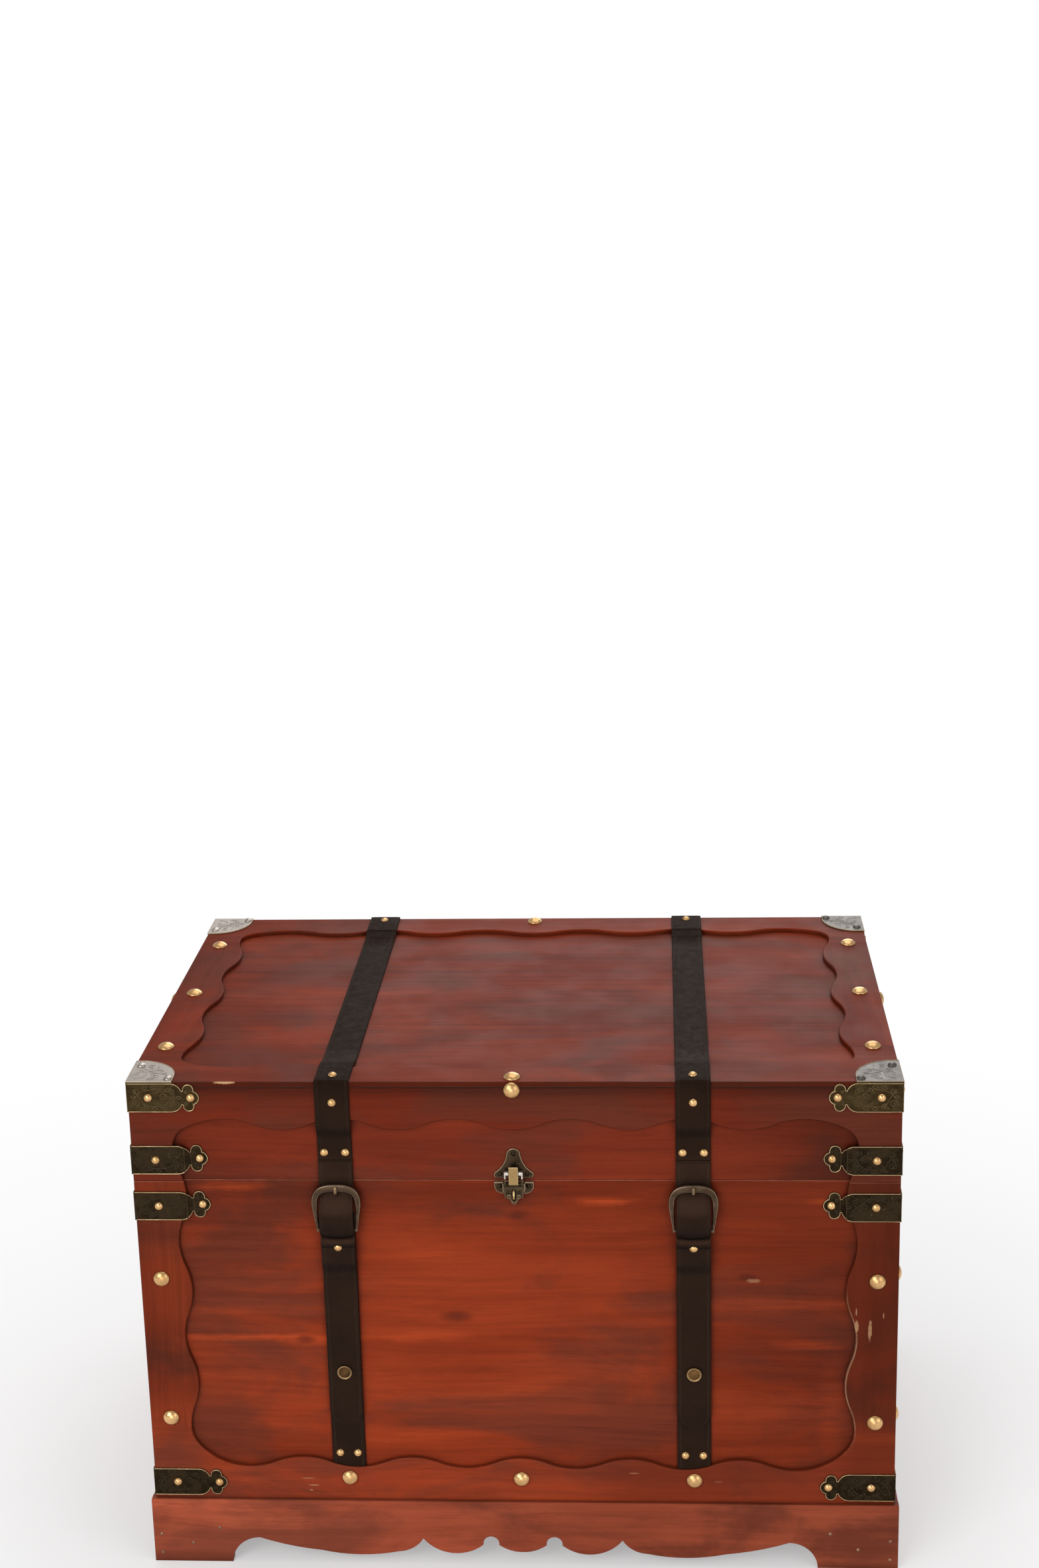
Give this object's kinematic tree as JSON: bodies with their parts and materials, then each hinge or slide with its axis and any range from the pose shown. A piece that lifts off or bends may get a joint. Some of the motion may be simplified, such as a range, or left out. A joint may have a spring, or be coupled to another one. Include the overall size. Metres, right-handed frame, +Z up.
{
  "type": "wooden trunk",
  "caption": "Rectangular wooden trunk with a hinged lid, framed panels on a plinth, metal corner brackets, dome nails, buckled leather straps, a fold-down latch and bail handles.",
  "frame": {"origin": "bottom centre of the shut trunk, on the floor it stands on", "axes": "+X to the right of someone facing the front, along the trunk's length; +Y from the front to the hinged back; +Z up"},
  "size_m": [0.822, 0.535, 0.5698],
  "materials": {
    "panel_wood": "satin mahogany stain",
    "frame_wood": "satin mahogany stain",
    "strap_leather": "satin",
    "handle_leather": "satin",
    "bronze": "antique bronze",
    "nail_brass": "aged brass",
    "pin_steel": "plain"
  },
  "bodies": {
    "chest": {"body_front_panel": "panel_wood", "body_back_panel": "panel_wood", "body_left_panel": "panel_wood", "body_right_panel": "panel_wood", "body_floor": "panel_wood", "body_front_frame": "frame_wood", "body_back_frame": "frame_wood", "body_left_frame": "frame_wood", "body_right_frame": "frame_wood", "plinth_front_apron": "frame_wood", "plinth_back_apron": "frame_wood", "plinth_side_aprons": "frame_wood", "plinth_corner_blocks": "panel_wood", "body_upper_brackets": "bronze", "body_lower_brackets": "bronze", "body_bracket_nails": "nail_brass", "body_dome_nails": "nail_brass", "plinth_pins": "pin_steel", "base_straps": "strap_leather", "base_strap_studs": "nail_brass", "latch_body_plate": "bronze", "latch_staple": "bronze", "hinge_body_leaves": "bronze", "hinge_pins": "bronze", "handle_mounts": "bronze", "body_screws": "bronze"},
    "lid": {"lid_top_panel": "panel_wood", "lid_front_panel": "panel_wood", "lid_back_panel": "panel_wood", "lid_left_panel": "panel_wood", "lid_right_panel": "panel_wood", "lid_front_frame": "frame_wood", "lid_back_frame": "frame_wood", "lid_left_frame": "frame_wood", "lid_right_frame": "frame_wood", "lid_top_frame": "frame_wood", "lid_corner_brackets": "bronze", "lid_corner_caps": "bronze", "lid_bracket_nails": "nail_brass", "lid_dome_nails": "nail_brass", "lid_straps": "strap_leather", "lid_strap_rivets": "nail_brass", "latch_lid_plate": "bronze", "hinge_lid_leaves": "bronze", "lid_screws": "bronze"},
    "flap_right": {"flap_strap_right": "strap_leather", "tongue_right": "strap_leather", "buckle_right": "bronze", "prong_right": "bronze", "tongue_studs_right": "nail_brass"},
    "flap_left": {"flap_strap_left": "strap_leather", "tongue_left": "strap_leather", "buckle_left": "bronze", "prong_left": "bronze", "tongue_studs_left": "nail_brass"},
    "latch_lever": {"latch_lever": "bronze"},
    "latch_yoke": {"latch_yoke": "bronze"},
    "handle_right": {"handle_right": "handle_leather"},
    "handle_left": {"handle_left": "handle_leather"}
  },
  "joints": [
    {"name": "lid_hinge", "type": "hinge", "parent": "chest", "child": "lid", "pos_m": [0, 0.2618, 0.4523], "axis": [-1, 0, 0], "range_deg": [0, 100]},
    {"name": "flap_right_bend", "type": "hinge", "parent": "lid", "child": "flap_right", "pos_m": [0.1865, -0.2571, 0.4741], "axis": [-1, 0, 0], "range_deg": [0, 110]},
    {"name": "flap_left_bend", "type": "hinge", "parent": "lid", "child": "flap_left", "pos_m": [-0.1865, -0.2571, 0.4741], "axis": [-1, 0, 0], "range_deg": [0, 110]},
    {"name": "latch_lever_pivot", "type": "hinge", "parent": "chest", "child": "latch_lever", "pos_m": [0, -0.2595, 0.448], "axis": [-1, 0, 0], "range_deg": [0, 90]},
    {"name": "latch_yoke_pivot", "type": "hinge", "parent": "latch_lever", "child": "latch_yoke", "pos_m": [0, -0.2627, 0.4375], "axis": [-1, 0, 0], "range_deg": [-90, 0]},
    {"name": "handle_right_pivot", "type": "hinge", "parent": "chest", "child": "handle_right", "pos_m": [0.404, 0, 0.414], "axis": [0, -1, 0], "range_deg": [0, 90]},
    {"name": "handle_left_pivot", "type": "hinge", "parent": "chest", "child": "handle_left", "pos_m": [-0.404, 0, 0.414], "axis": [0, 1, 0], "range_deg": [0, 90]}
  ],
  "couplings": [
    {"joint": "latch_yoke_pivot", "follows": "latch_lever_pivot", "ratio": -1}
  ]
}
